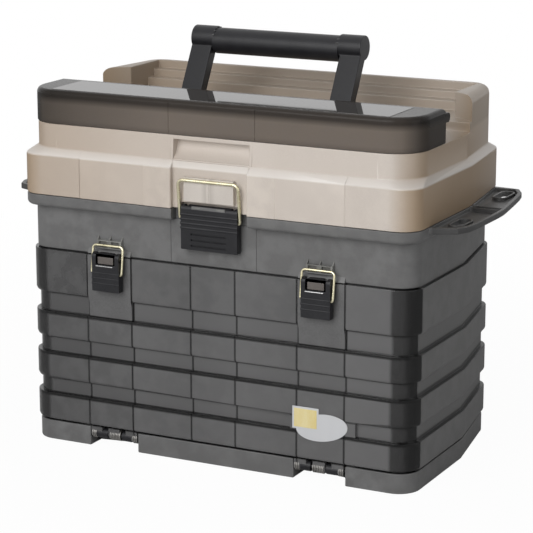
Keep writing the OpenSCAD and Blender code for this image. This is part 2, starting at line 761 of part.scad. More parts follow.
module door() {
    color(smoke) difference() {
        union() {
            difference() {
                union() {
                    slab(door_z0, door_z1, body_plan(band_proud));
                    for (b = bands) slab(b[0], b[1], body_plan(0));
                    box(label_x - label_w / 2 - label_pad, label_x + label_w / 2 + label_pad,
                        0, band_proud + over, band4_top - over, band3_bottom + over);
                }
                slab(door_z0 - over, door_z1 + over, body_plan(band_proud + door_t));
                for (b = bands) slab(b[0] + door_t, b[1] - door_t, body_plan(door_t));
                box(-body_w, body_w, door_wrap, 2 * body_d, 0, flange_z1);
            }
            mirrored() for (x = [notch_x0 + 1, (notch_x0 + notch_x1) / 2 - 7, notch_x1 - 15]) {
                box(x, x + 14, door_hinge_y - knuckle_r, band_proud + door_t, door_hinge_z, door_z0 + 1);
                xrod(x, x + 14, door_hinge_y, door_hinge_z, knuckle_r);
            }
        }
        mirrored() xrod(notch_x0 - over, notch_x1 + over, door_hinge_y, door_hinge_z, door_pin_r + run_gap);
    }
}

module door_label() {
    r = label_h / 2;
    z = (band4_top + band3_bottom) / 2;
    color("white") translate([label_x, 0, z]) rotate([90, 0, 0]) linear_extrude(0.8) {
        for (s = [-1, 1]) translate([s * (label_w / 2 - r), 0]) circle(r);
        translate([r - label_w / 2, -r]) square([label_w - 2 * r, label_h]);
    }
}

module drawer(i) {
    z = drawer_z0 + i * drawer_pitch;
    y1 = drawer_y0 + drawer_d;
    w = drawer_w / 2;
    t = drawer_wall;
    cells = [[-w + t, -partition_x - t / 2], [t / 2 - partition_x, partition_x - t / 2],
        [partition_x + t / 2, w - t]];
    color(smoke) {
        difference() {
            union() {
                box(-w, w, drawer_y0, y1, z, z + drawer_h);
                box(-w - drawer_lip, w + drawer_lip, drawer_y0 + pull_y, y1,
                    z + drawer_h - lip_t, z + drawer_h);
            }
            for (c = cells) box(c[0], c[1], drawer_y0 + t, y1 - t, z + t, z + drawer_h + over);
        }
        box(-pull_x, pull_x, drawer_y0 - pull_y, drawer_y0,
            z + drawer_h - pull_drop, z + drawer_h - pull_drop + lip_t);
    }
}

// Moves what follows to the frame of the whole cabinet
module placed(x = 0) {
    translate([x, -body_d / 2, 0]) children();
}

placed() base_plinth();
placed() bay_floor();
placed() housing();
placed() grip_flange();
placed() runner(-1);  // runner_left
placed() runner(1);  // runner_right
placed() door_pin(-1);  // door_pin_left
placed() door_pin(1);  // door_pin_right
placed() lid_pin(-1);  // lid_pin_left
placed() lid_pin(1);  // lid_pin_right
placed() keeper(-1);  // keeper_left
placed() keeper(1);  // keeper_right
placed() bracket(big);  // latch_bracket
placed() lid();
placed() lid_keeper();
placed() handle_pin(-1);  // handle_pin_left
placed() handle_pin(1);  // handle_pin_right
placed() top_cover();
placed() handle_arm(-1);  // handle_arm_left
placed() handle_arm(1);  // handle_arm_right
placed() handle_grip();
placed() lever(big);  // latch_lever
placed() lever_pin(big);  // latch_pin
placed() bail(big);  // latch_bail
placed() door();
placed() door_label();
placed(-small_at) bracket(small);  // door_bracket_left
placed(small_at) bracket(small);  // door_bracket_right
placed(-small_at) lever(small);  // lever_left
placed(-small_at) lever_pin(small);  // lever_pin_left
placed(-small_at) bail(small);  // bail_left
placed(small_at) lever(small);  // lever_right
placed(small_at) lever_pin(small);  // lever_pin_right
placed(small_at) bail(small);  // bail_right
placed() drawer(0);  // drawer_1
placed() drawer(1);  // drawer_2
placed() drawer(2);  // drawer_3
placed() drawer(3);  // drawer_4
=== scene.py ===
import json
import math

import bpy
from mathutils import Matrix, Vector


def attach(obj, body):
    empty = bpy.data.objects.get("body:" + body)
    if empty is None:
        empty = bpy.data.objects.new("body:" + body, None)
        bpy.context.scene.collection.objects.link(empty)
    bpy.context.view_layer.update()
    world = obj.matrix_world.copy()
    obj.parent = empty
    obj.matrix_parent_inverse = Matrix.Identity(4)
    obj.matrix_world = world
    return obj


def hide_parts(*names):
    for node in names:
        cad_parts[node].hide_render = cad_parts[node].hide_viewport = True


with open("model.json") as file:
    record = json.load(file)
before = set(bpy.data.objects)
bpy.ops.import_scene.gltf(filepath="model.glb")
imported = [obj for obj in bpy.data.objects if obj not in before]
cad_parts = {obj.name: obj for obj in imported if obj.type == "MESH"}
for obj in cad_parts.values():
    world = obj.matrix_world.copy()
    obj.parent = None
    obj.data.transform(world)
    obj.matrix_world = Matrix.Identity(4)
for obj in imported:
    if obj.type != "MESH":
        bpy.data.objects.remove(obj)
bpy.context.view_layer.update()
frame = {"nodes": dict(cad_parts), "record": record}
mm = 0.001
frontY = -129  # the drawings measure Y from the face of the door bands, in millimetres

# plan outlines: half widths in front and at the rear, front and rear faces, corner radii
plans = {
    "band": {"wide": 227.5, "narrow": 212, "front": 0, "rear": 258, "frontR": 26, "rearR": 24},
    "skirt": {"wide": 230, "narrow": 217, "front": -8, "rear": 268, "frontR": 24, "rearR": 26},
    "upper": {"wide": 225, "narrow": 212, "front": -0.5, "rear": 254, "frontR": 38, "rearR": 25},
}
taperFrom = 140  # behind this Y the sides draw in
bandBottoms = (23, 70, 116.5, 166)
sides = ((-1, "left"), (1, "right"))


def at(x, y, z):
    return (x * mm, (y + frontY) * mm, z * mm)


def spot(co):
    return (co[0] / mm, co[1] / mm - frontY, co[2] / mm)


def inset(plan, x, y):  # how far a point lies inside an outline
    wide, narrow, front, rear, frontR, rearR = plans[plan].values()
    x = abs(x)
    if y < front + frontR and x > wide - frontR:
        return frontR - math.hypot(x - wide + frontR, y - front - frontR)
    if y > rear - rearR and x > narrow - rearR:
        return rearR - math.hypot(x - narrow + rearR, y - rear + rearR)
    taper = max(y - taperFrom, 0) / (rear - rearR - taperFrom)
    return min(wide - (wide - narrow) * taper - x, y - front, rear - y)


def near(value, *levels):
    return min(abs(value - level) for level in levels) < 0.15


def bandEdge(x, y, z):  # the lower outer edges of the bands
    return inset("band", x, y) < 0.4 and near(z, *bandBottoms)


def span(side, inner, outer):
    return sorted((side * inner, side * outer))


def pick(*pieces):
    if bpy.context.mode != "OBJECT":
        bpy.ops.object.mode_set(mode="OBJECT")
    bpy.ops.object.select_all(action="DESELECT")
    for piece in pieces:
        piece.select_set(True)
    bpy.context.view_layer.objects.active = pieces[0]


def edit(piece, kind="VERT"):
    pick(piece)
    bpy.ops.object.mode_set(mode="EDIT")
    bpy.ops.mesh.select_mode(type=kind)


def done(piece):
    bpy.ops.object.mode_set(mode="OBJECT")
    return piece


def modify(piece, kind, **settings):
    modifier = piece.modifiers.new(kind.lower(), kind)
    for key, value in settings.items():
        setattr(modifier, key, value)
    pick(piece)
    bpy.ops.object.modifier_apply(modifier=modifier.name)
    return piece


def soften(piece, width, segments=2, angle=32):
    return modify(piece, "BEVEL", width=width * mm, segments=segments, limit_method="ANGLE",
                  angle_limit=math.radians(angle), use_clamp_overlap=False)


def smooth(piece, angle=38):
    pick(piece)
    bpy.ops.object.shade_smooth_by_angle(angle=math.radians(angle))
    return modify(piece, "WEIGHTED_NORMAL", keep_sharp=True, weight=80)


def settle():
    bpy.ops.object.transform_apply(location=True, rotation=True, scale=True)


def named(name):  # the primitive that was just added, with its place applied
    piece = bpy.context.active_object
    piece.name = name
    settle()
    return piece


def block(name, x0, x1, y0, y1, z0, z1):
    bpy.ops.mesh.primitive_cube_add(size=1, location=at((x0 + x1) / 2, (y0 + y1) / 2, (z0 + z1) / 2),
                                    scale=((x1 - x0) * mm, (y1 - y0) * mm, (z1 - z0) * mm))
    return named(name)


def rod(name, radius, start, end, vertices=32):
    a, b = Vector(at(*start)), Vector(at(*end))
    turn = (b - a).to_track_quat("Z", "Y").to_euler()
    bpy.ops.mesh.primitive_cylinder_add(vertices=vertices, radius=radius * mm, depth=(b - a).length,
                                        location=(a + b) / 2, rotation=turn)
    return named(name)


def extrude(name, corners, run):  # a flat outline drawn out to a closed solid
    bpy.ops.mesh.primitive_circle_add(vertices=len(corners), radius=1, fill_type="NGON")
    piece = named(name)
    for vertex, corner in zip(piece.data.vertices, corners):
        vertex.co = at(*corner)
    edit(piece)
    bpy.ops.mesh.select_all(action="SELECT")
    bpy.ops.mesh.extrude_region_move(TRANSFORM_OT_translate={"value": [part * mm for part in run]})
    bpy.ops.mesh.select_all(action="SELECT")
    bpy.ops.mesh.normals_make_consistent(inside=False)
    return done(piece)


def prism(name, points, x0, x1):  # a YZ outline drawn along X
    return extrude(name, [(x0, y, z) for y, z in points], (x1 - x0, 0, 0))


def column(name, points, z0, z1):  # an XY outline drawn up along Z
    return extrude(name, [(x, y, z0) for x, y in points], (0, 0, z1 - z0))


def cut(piece, cutter):
    modify(piece, "BOOLEAN", object=cutter, operation="DIFFERENCE", solver="EXACT")
    bpy.data.objects.remove(cutter)
    return piece


def join(name, *pieces):
    pick(*pieces)
    bpy.ops.object.join()
    pieces[0].name = name
    return pieces[0]


def copyNode(node, name):
    piece = bpy.data.objects.new(name, frame["nodes"][node].data.copy())
    bpy.context.scene.collection.objects.link(piece)
    piece.data.materials.clear()
    edit(piece)
    bpy.ops.mesh.customdata_custom_splitnormals_clear()
    bpy.ops.mesh.select_all(action="SELECT")
    bpy.ops.mesh.remove_doubles(threshold=0.00001)
    bpy.ops.mesh.dissolve_limited(angle_limit=math.radians(0.15))
    return done(piece)


def unselect(mesh):
    for group in (mesh.vertices, mesh.edges, mesh.polygons):
        group.foreach_set("select", [False] * len(group))


def bevelEdges(piece, test, width, segments=3, corner=25):  # the sharp edges whose two ends pass the test
    mesh = piece.data
    edit(piece, "EDGE")
    bpy.ops.mesh.select_all(action="DESELECT")
    bpy.ops.mesh.edges_select_sharp(sharpness=math.radians(corner))
    done(piece)
    sharp = [edge.index for edge in mesh.edges if edge.select]
    unselect(mesh)
    for index in sharp:
        edge = mesh.edges[index]
        edge.select = all(test(*spot(mesh.vertices[v].co)) for v in edge.vertices)
        if edge.select:
            for v in edge.vertices:
                mesh.vertices[v].select = True
    edit(piece, "EDGE")
    bpy.ops.mesh.bevel(offset=width * mm, segments=segments, affect="EDGES", clamp_overlap=True)
    return done(piece)


def slices(piece, *levels):  # edge loops across the piece at these X
    edit(piece)
    for x in levels:
        bpy.ops.mesh.select_all(action="SELECT")
        bpy.ops.mesh.bisect(plane_co=at(x, 0, 0), plane_no=(1, 0, 0))
    return done(piece)


def pushFront(piece, x0, x1, push, low, high, far, slack=0):  # moves the front faces from x0 to x1 along Y
    mesh = piece.data
    unselect(mesh)
    for face in mesh.polygons:
        x, y, z = spot(face.center)
        if x0 < x < x1 and face.normal.y < -0.3 and y < far and low < z < high:
            for v in face.vertices:
                mesh.vertices[v].select = x0 - slack < spot(mesh.vertices[v].co)[0] < x1 + slack
    edit(piece)
    bpy.ops.transform.translate(value=(0, push * mm, 0))
    return done(piece)


def score(piece, x, depth, half, low, high, far=20):  # a fine groove down a front face
    slices(piece, x - half, x - half * 0.55, x + half * 0.55, x + half)
    return pushFront(piece, x - half * 0.5, x + half * 0.5, depth, low, high, far, slack=half * 0.1)


def raisePad(piece, x0, x1, proud, low, high, far=3):  # part of a front face stands out, with 0.6 mm slopes
    slices(piece, x0 - 0.3, x0 + 0.3, x1 - 0.3, x1 + 0.3)
    return pushFront(piece, x0 + 0.2, x1 - 0.2, -proud, low, high, far)


def finishPiece(piece, body, slot, finish, *nodes):  # the nodes are the solids that the piece stands for
    piece.data.materials.clear()
    piece.data.materials.append(skins[finish])
    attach(piece, body)
    if nodes:
        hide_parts(*nodes)
    return piece


def plastic(name, look):
    material = bpy.data.materials.new(name)
    material.use_nodes = True
    nodes, links = material.node_tree.nodes, material.node_tree.links
    shader = nodes["Principled BSDF"]
    place = nodes.new("ShaderNodeTexCoord")

    def noise(scale, detail, stretch=(1, 1, 1)):
        mapping = nodes.new("ShaderNodeMapping")
        mapping.inputs["Scale"].default_value = stretch
        texture = nodes.new("ShaderNodeTexNoise")
        texture.inputs["Scale"].default_value = scale
        texture.inputs["Detail"].default_value = detail
        texture.inputs["Roughness"].default_value = 0.5
        links.new(place.outputs["Object"], mapping.inputs["Vector"])
        links.new(mapping.outputs["Vector"], texture.inputs["Vector"])
        return texture.outputs["Fac"]

    def ramp(value, low, high, dark, light):
        step = nodes.new("ShaderNodeMapRange")
        for socket, number in zip(("From Min", "From Max", "To Min", "To Max"), (low, high, dark, light)):
            step.inputs[socket].default_value = number
        links.new(value, step.inputs["Value"])
        return step.outputs["Result"]

    def blend(factor, first, second):
        mixer = nodes.new("ShaderNodeMix")
        mixer.data_type = "RGBA"
        for socket, value in zip((mixer.inputs[0], mixer.inputs[6], mixer.inputs[7]), (factor, first, second)):
            if hasattr(value, "is_output"):
                links.new(value, socket)
            elif isinstance(value, (int, float)):
                socket.default_value = value
            else:
                socket.default_value = (*value, 1)
        return mixer.outputs[2]

    def marks(axis, reach, stops, absolute):  # shade along one axis, as (position, strength) stops
        split = nodes.new("ShaderNodeSeparateXYZ")
        links.new(place.outputs["Object"], split.inputs[0])
        value = split.outputs[axis]
        if absolute:
            size = nodes.new("ShaderNodeMath")
            size.operation = "ABSOLUTE"
            links.new(value, size.inputs[0])
            value = size.outputs[0]
        scale = nodes.new("ShaderNodeMapRange")
        scale.inputs["From Min"].default_value = reach[0] * mm
        scale.inputs["From Max"].default_value = reach[1] * mm
        links.new(value, scale.inputs["Value"])
        band = nodes.new("ShaderNodeValToRGB")
        stops = [((position - reach[0]) / (reach[1] - reach[0]), strength) for position, strength in stops]
        for position, strength in stops[1:-1]:
            band.color_ramp.elements.new(position)
        for element, (position, strength) in zip(band.color_ramp.elements, stops):
            element.position = position
            element.color = (strength, strength, strength, 1)
        links.new(scale.outputs["Result"], band.inputs["Fac"])
        return band.outputs["Color"]

    def bump(strength, depth, scale, detail):
        dent = nodes.new("ShaderNodeBump")
        dent.inputs["Strength"].default_value = strength
        dent.inputs["Distance"].default_value = depth
        links.new(noise(scale, detail), dent.inputs["Height"])
        return dent

    # a broad drift of the colour, flecks, outer edges lightened as wear and as a painted edge highlight, and
    # painted shade and highlights
    flow = ramp(noise(look["flow"], 3, look.get("stretch", (1, 1, 0.25))), 0.3, 0.7, 0, 1)
    fleck = ramp(noise(look["fleck"], 2), 0.35, 0.65, 0, 1)
    colour = blend(flow, look["dark"], look["light"])
    colour = blend(ramp(fleck, 0, 1, 0, look["fleckAmount"]), colour, look.get("fleckColour", (1, 1, 1)))
    # outer edges lightened through pointiness: partly rubbed wear, partly a painted edge highlight
    outerEdge = nodes.new("ShaderNodeNewGeometry").outputs["Pointiness"]
    rubbedAndSheen = nodes.new("ShaderNodeMath")
    rubbedAndSheen.operation = "MULTIPLY"
    links.new(ramp(outerEdge, 0.51, 0.58, 0, look["wearSheen"]), rubbedAndSheen.inputs[0])
    links.new(ramp(noise(60, 4), 0.4, 0.62, 0, 1), rubbedAndSheen.inputs[1])
    colour = blend(rubbedAndSheen.outputs[0], colour, look.get("wearSheenColour", look["light"]))
    for axis, reach, stops, absolute, tone in look.get("marks", ()):
        colour = blend(marks(axis, reach, stops, absolute), colour, tone)
    links.new(colour, shader.inputs["Base Color"])
    # uneven gloss, and a fine grain over broad ripples
    smear = ramp(noise(look.get("smear", 14), 4), 0.3, 0.7, *look["gloss"])
    links.new(smear, shader.inputs["Roughness"])
    grain = bump(look["grain"], 0.4 * mm, look["grainScale"], 2)
    ripple = bump(look.get("ripple", 0.05), 4 * mm, 12, 1)
    links.new(ripple.outputs["Normal"], grain.inputs["Normal"])
    links.new(grain.outputs["Normal"], shader.inputs["Normal"])
    shader.inputs["Metallic"].default_value = look.get("metallic", 0)
    shader.inputs["Coat Weight"].default_value = look.get("coat", 0)
    shader.inputs["Coat Roughness"].default_value = 0.1
    shader.inputs["IOR"].default_value = look.get("ior", 1.5)
    shader.inputs["Alpha"].default_value = look.get("alpha", 1)
    return material


def rows(reach, lines):  # (low, high, strength) lines as stops with soft edges
    stops = [(reach[0], 0)]
    for low, high, strength in lines:
        stops += [(low - 0.5, 0), (low, strength), (high, strength), (high + 0.5, 0)]
    return reach, stops + [(reach[1], 0)]


# painted shade lines, painted highlights and lighter painted patches on the shells, in millimetres along one axis
# painted shade: thick dark lines at the door band ledges and thin ones at the band bottoms
doorLedgeShade = rows((0, 240), [(22.6, 23.6, 0.7), (51, 54.5, 0.95), (69.4, 70.6, 0.7), (97.2, 100.5, 0.95),
                           (115.9, 117, 0.7), (142.7, 146, 0.95), (165.4, 167, 0.8)])
# dark seam lines on the door, and painted shade over its corners from |x| 200 outward
doorSeamsAndCornerShade = ((0, 228), ((0, 0), (24.8, 0), (25.4, 0.8), (26.6, 0.8), (27.2, 0), (96, 0), (96.7, 0.8),
                          (98, 0.8), (98.6, 0), (150.2, 0), (150.8, 0.8), (152, 0.8), (152.6, 0), (200, 0),
                          (204, 0.75), (215, 0.75), (218, 0.92), (228, 1)))
# painted light: the door panels lightened step by step, more towards the right
doorPanelLight = ((-228, 228), ((-228, 0), (-152, 0), (-151.9, 0.15), (-98, 0.2), (-97.9, 0.45), (-27, 0.3),
                             (-26, 0.35), (25, 0.5), (26, 0.6), (97, 0.4), (98, 0.5), (151, 0.5), (152, 0.7),
                             (200, 0.6), (228, 0)))
# painted light on the door bands below z 165
doorLowerLight = ((0, 240), ((0, 0.15), (165, 0.2), (168, 0), (240, 0)))
# painted shade: dark lines at the housing band ledges
shellLedgeShade = rows((0, 300), [(53.5, 57, 0.8), (99.5, 103, 0.8), (145, 148, 0.8), (214, 216, 0.8)])
# painted shade over the grip ears beyond |x| 231
gripEarShade = ((200, 270), ((200, 0), (231, 0), (234, 0.75), (270, 0.75)))
# painted shade: the lid darker and warmer towards the left
lidLeftShade = ((-230, 230), ((-230, 0.8), (-60, 0.25), (40, 0.05), (230, 0)))
# painted shade on the lid's sides beyond |x| 200
lidSideShade = ((0, 235), ((0, 0), (200, 0), (226, 0.8), (235, 0.95)))
# painted highlight along the lid's skirt chamfer, z 319 to 327
lidChamferHighlight = ((300, 340), ((300, 0), (317.5, 0), (319.5, 0.75), (325, 0.45), (327, 0), (340, 0)))
# painted shade inside the lid's hump pocket above z 352
lidPocketShade = ((340, 400), ((340, 0), (352.5, 0), (357, 0.6), (400, 0.55)))
# painted shade on both sides of the keeper ridge
keeperRidgeShade = ((-20, 20), ((-20, 0), (-9, 0), (-2.8, 0.4), (-2.5, 0), (1.3, 0), (1.6, 0.4), (8, 0), (20, 0)))
# painted shade on the cover below z 358 and above z 381, which leaves a lighter band where the lit tray rim shows
# through
coverRowShade = ((350, 390), ((350, 0.35), (358, 0), (374, 0), (381, 0.8), (390, 0.8)))
# painted shade at the cover's ends and towards its left
coverEndShade = ((-230, 230), ((-230, 1), (-216, 1), (-205, 0.6), (-160, 0.35), (-60, 0), (209, 0), (219, 0.4),
                           (230, 0.9)))
# painted shade along the foot of the latch panels
panelFootShade = ((140, 220), ((140, 0.9), (146, 0.9), (147, 0), (220, 0)))

graphite = {"dark": (0.122, 0.121, 0.121), "light": (0.13, 0.129, 0.128), "flow": 4, "stretch": (2, 2, 0.5),
            "fleck": 1600, "fleckAmount": 0.05, "fleckColour": (0.5, 0.5, 0.5), "wearSheen": 0.5,
            "wearSheenColour": (0.22, 0.22, 0.22), "gloss": (0.42, 0.5), "grain": 0.12, "grainScale": 1300,
            "ripple": 0.02, "ior": 1.4}
smoke = {"fleck": 900, "fleckAmount": 0.02, "wearSheen": 0.3, "wearSheenColour": (0.2, 0.2, 0.2), "grain": 0.02,
         "grainScale": 700, "ripple": 0.02}
metal = {"flow": 60, "fleck": 1500, "fleckAmount": 0.08, "wearSheen": 0.3, "grain": 0.05, "grainScale": 1200,
         "metallic": 0.9, "smear": 90}
paper = {"fleck": 1200, "fleckAmount": 0.1, "wearSheen": 0.1, "gloss": (0.18, 0.26), "grain": 0.03,
         "grainScale": 900, "coat": 0.4}
finishes = {
    "champagne": {"dark": (0.57, 0.505, 0.45), "light": (0.60, 0.535, 0.48), "flow": 5, "stretch": (3, 3, 0.5),
                  "fleck": 2200, "fleckAmount": 0.16, "fleckColour": (0.95, 0.9, 0.82), "wearSheen": 0.5,
                  "wearSheenColour": (0.75, 0.68, 0.6), "gloss": (0.36, 0.4), "grain": 0.05, "grainScale": 900,
                  "ripple": 0.01,
                  "marks": [("X", *lidLeftShade, False, (0.42, 0.33, 0.25)),
                            ("X", *lidSideShade, True, (0.34, 0.225, 0.12)),
                            ("Z", *lidChamferHighlight, False, (0.86, 0.82, 0.78)),
                            ("Z", *lidPocketShade, False, (0.3, 0.235, 0.17))]},
    "champagnePale": {"dark": (0.54, 0.49, 0.44), "light": (0.62, 0.57, 0.52), "flow": 30, "fleck": 2200,
                      "fleckAmount": 0.12, "fleckColour": (0.95, 0.92, 0.86), "wearSheen": 0.4,
                      "gloss": (0.33, 0.4), "grain": 0.05, "grainScale": 900, "metallic": 0.1,
                      "marks": [("X", *keeperRidgeShade, False, (0.3, 0.27, 0.24))]},
    "graphite": graphite,
    "graphiteShell": {**graphite, "gloss": (0.42, 0.46), "ripple": 0.01,
                      "marks": [("Z", *shellLedgeShade, False, (0.012, 0.012, 0.012))]},
    "graphiteGrip": {**graphite, "wearSheen": 0.25, "wearSheenColour": (0.3, 0.3, 0.29), "gloss": (0.36, 0.44),
                     "marks": [("X", *gripEarShade, True, (0.03, 0.03, 0.03))]},
    "keeperGrey": {"dark": (0.11, 0.108, 0.1), "light": (0.14, 0.138, 0.13), "flow": 30, "fleck": 1600,
                   "fleckAmount": 0.05, "wearSheen": 0.6, "wearSheenColour": (0.36, 0.36, 0.34), "gloss": (0.35, 0.42),
                   "grain": 0.1, "grainScale": 1300},
    "smokeDoor": {**smoke, "dark": (0.082, 0.081, 0.082), "light": (0.09, 0.089, 0.09), "flow": 9,
                  "stretch": (0.5, 1, 3), "fleckColour": (0.4, 0.4, 0.4), "gloss": (0.16, 0.2),
                  "ripple": 0.03, "alpha": 0.8, "ior": 1.45,
                  "marks": [("X", *doorPanelLight, False, (0.21, 0.208, 0.21)),
                            ("Z", *doorLowerLight, False, (0.21, 0.208, 0.21)),
                            ("X", *doorSeamsAndCornerShade, True, (0.006, 0.006, 0.006)),
                            ("Z", *doorLedgeShade, False, (0.004, 0.004, 0.004))]},
    "smokeCover": {**smoke, "dark": (0.165, 0.138, 0.115), "light": (0.18, 0.15, 0.127), "flow": 6,
                   "stretch": (0.4, 1, 1), "fleckColour": (0.4, 0.38, 0.35), "wearSheenColour": (0.16, 0.14, 0.13),
                   "gloss": (0.22, 0.26), "alpha": 0.95, "ior": 1.2,
                   "marks": [("Z", *coverRowShade, False, (0.012, 0.01, 0.009)),
                             ("X", *coverEndShade, False, (0.008, 0.007, 0.006))]},
    "smokePanel": {**smoke, "dark": (0.11, 0.109, 0.11), "light": (0.118, 0.117, 0.118), "flow": 9,
                   "fleckAmount": 0.03, "gloss": (0.2, 0.26), "grain": 0.03, "grainScale": 900, "ior": 1.4,
                   "marks": [("Z", *panelFootShade, False, (0.006, 0.006, 0.006))]},
    "smokeGloss": {"dark": (0.08, 0.074, 0.07), "light": (0.09, 0.083, 0.078), "flow": 6,
                   "stretch": (0.4, 1, 1), "fleck": 900, "fleckAmount": 0.02, "wearSheen": 0.2,
                   "gloss": (0.03, 0.05), "grain": 0.01, "grainScale": 700, "ripple": 0.004, "ior": 1.38,
                   "alpha": 0.96},
    "smokeDrawer": {"dark": (0.36, 0.36, 0.37), "light": (0.45, 0.45, 0.46), "flow": 5, "stretch": (1, 1, 3),
                    "fleck": 900, "fleckAmount": 0.04, "wearSheen": 0.3, "wearSheenColour": (0.6, 0.6, 0.6),
                    "gloss": (0.25, 0.35), "grain": 0.03, "grainScale": 800, "alpha": 0.94},
    "black": {"dark": (0.01, 0.01, 0.012), "light": (0.012, 0.012, 0.0145), "flow": 9, "fleck": 1500,
              "fleckAmount": 0.03, "fleckColour": (0.3, 0.3, 0.3), "wearSheen": 0.25,
              "wearSheenColour": (0.05, 0.05, 0.055), "gloss": (0.36, 0.38), "grain": 0.14, "grainScale": 1500,
              "ripple": 0.004, "ior": 1.35},
    "brownTongue": {"dark": (0.075, 0.062, 0.055), "light": (0.1, 0.085, 0.075), "flow": 60, "fleck": 1500,
                    "fleckAmount": 0.04, "wearSheen": 0.3, "wearSheenColour": (0.2, 0.18, 0.16), "gloss": (0.3, 0.4),
                    "grain": 0.1, "grainScale": 1500},
    "brass": {**metal, "dark": (0.54, 0.49, 0.31), "light": (0.74, 0.69, 0.48), "fleckAmount": 0.1,
              "gloss": (0.2, 0.32)},
    "steel": {**metal, "dark": (0.34, 0.34, 0.34), "light": (0.5, 0.5, 0.5), "gloss": (0.22, 0.36)},
    "darkSteel": {**metal, "dark": (0.2, 0.19, 0.18), "light": (0.34, 0.33, 0.31), "wearSheen": 0.4,
                  "wearSheenColour": (0.6, 0.58, 0.55), "gloss": (0.2, 0.34), "metallic": 0.8},
    "label": {**paper, "dark": (0.6, 0.605, 0.62), "light": (0.67, 0.675, 0.69), "flow": 25,
              "fleckColour": (0.7, 0.72, 0.76)},
    "patch": {**paper, "dark": (0.78, 0.62, 0.22), "light": (0.84, 0.72, 0.36), "flow": 90},
}
skins = {name: plastic(name, look) for name, look in finishes.items()}
slotFinish = {
    "graphite_plastic": "graphite", "champagne_plastic": "champagne", "smoke_drawer": "smokeDrawer",
    "black_plastic": "black", "brass_wire": "brass", "steel_pin": "steel", "white_label": "label",
    "smoke_cover": "smokeCover", "smoke_door": "smokeDoor",
}
for row in frame["record"]["subparts"]:
    node = frame["nodes"][row["node"]]
    node.data.materials.clear()
    node.data.materials.append(skins[slotFinish[row["material_slot"]]])
print("finishes ready")

plinthLook = {"edge": 1.2, "opening": (93, 152), "openY": (-2, 58), "openZ": (-1, 9.5)}
plinth = copyNode("base_plinth", "plinth")
for side in (-1, 1):
    cut(plinth, block("opening", *span(side, *plinthLook["opening"]), *plinthLook["openY"], *plinthLook["openZ"]))
soften(plinth, plinthLook["edge"])
smooth(plinth)
finishPiece(plinth, "cabinet", "graphite_plastic", "graphite", "base_plinth")

shellLook = {"chamfer": 3.6, "edge": 0.8, "grooves": (-50, 50), "groove": (0.5, 0.6, 216, 262)}
shell = copyNode("housing", "cabinetShell")
bevelEdges(shell, bandEdge, shellLook["chamfer"], segments=2)
soften(shell, shellLook["edge"])
for x in shellLook["grooves"]:
    score(shell, x, *shellLook["groove"])
smooth(shell)
finishPiece(shell, "cabinet", "graphite_plastic", "graphiteShell", "housing")

latchX = 123
finLook = {"spread": (-14.4, 0, 14.4), "half": 0.65, "edge": 0.35,
           "outline": ((3.4, 227), (3.4, 236), (2.6, 236), (-1.2, 231.5), (-1.2, 227))}
fins = []
for side in (-1, 1):
    for dx in finLook["spread"]:
        x = side * latchX + dx
        fin = prism("fin", finLook["outline"], x - finLook["half"], x + finLook["half"])
        fins.append(soften(fin, finLook["edge"]))
finishPiece(smooth(join("latchFins", *fins)), "cabinet", "graphite_plastic", "keeperGrey")

panelReach = (98.4, 150.6)
keeperLook = {"edge": 0.6}
rampLook = {"edge": 0.25, "outline": ((3.3, 215.7), (0.2, 215.7), (0.2, 216.2), (3, 221.5), (3.3, 221.5))}
for side, word in sides:
    keeper = soften(copyNode("keeper_" + word, "keeperFrame_" + word), keeperLook["edge"])
    finishPiece(smooth(keeper), "cabinet", "graphite_plastic", "keeperGrey", "keeper_" + word)
    ramp = prism("latchRamp_" + word, rampLook["outline"], *span(side, *panelReach))
    finishPiece(smooth(soften(ramp, rampLook["edge"])), "cabinet", "graphite_plastic", "graphite")
print("cabinet ready")

flangeLook = {"bottom": 263, "under": 4, "edge": 0.9}
flange = copyNode("grip_flange", "gripFlange")
bevelEdges(flange, lambda x, y, z: near(z, flangeLook["bottom"]) and inset("skirt", x, y) < 0.4,
           flangeLook["under"])
soften(flange, flangeLook["edge"])
smooth(flange)
finishPiece(flange, "cabinet", "graphite_plastic", "graphiteGrip", "grip_flange")

lidLook = {"pads": ((44.3, 76, 1.3), (76, 154, 0.7)), "padZ": (277, 326), "splits": (-204, -185, 185, 204),
           "edge": 1.1, "edgeAngle": 48}
lid = copyNode("lid", "lidShell")
for side in (-1, 1):
    for inner, outer, proud in lidLook["pads"]:
        raisePad(lid, *span(side, inner, outer), proud, *lidLook["padZ"])
slices(lid, *lidLook["splits"])  # keep the shading of the round corners off the flat walls
soften(lid, lidLook["edge"], angle=lidLook["edgeAngle"])

# the hump's outer edge is rounded by what lies outside a rounded envelope, which starts just inside its walls
humpLook = {"round": 9, "top": 388.98, "inside": 0.02, "front": -60, "roundFrom": -50, "low": 330, "steps": 10,
            "trim": (-260, 260, -50, 290, 353, 400)}
upper = plans["upper"]
wallX, corner = upper["wide"] - humpLook["inside"], upper["rearR"] - humpLook["inside"]
outline = [(wallX, humpLook["front"]), (wallX, taperFrom)]
for step in range(humpLook["steps"] + 1):
    angle = math.radians(90 * step / humpLook["steps"])
    outline.append((upper["narrow"] - upper["rearR"] + corner * math.cos(angle),
                    upper["rear"] - upper["rearR"] + corner * math.sin(angle)))
outline += [(-x, y) for x, y in reversed(outline)]
envelope = column("envelope", outline, humpLook["low"], humpLook["top"])
bevelEdges(envelope, lambda x, y, z: near(z, humpLook["top"]) and y > humpLook["roundFrom"],
           humpLook["round"], segments=6, corner=20)
cut(lid, cut(block("trim", *humpLook["trim"]), envelope))
smooth(lid)
finishPiece(lid, "lid", "champagne_plastic", "champagne", "lid")

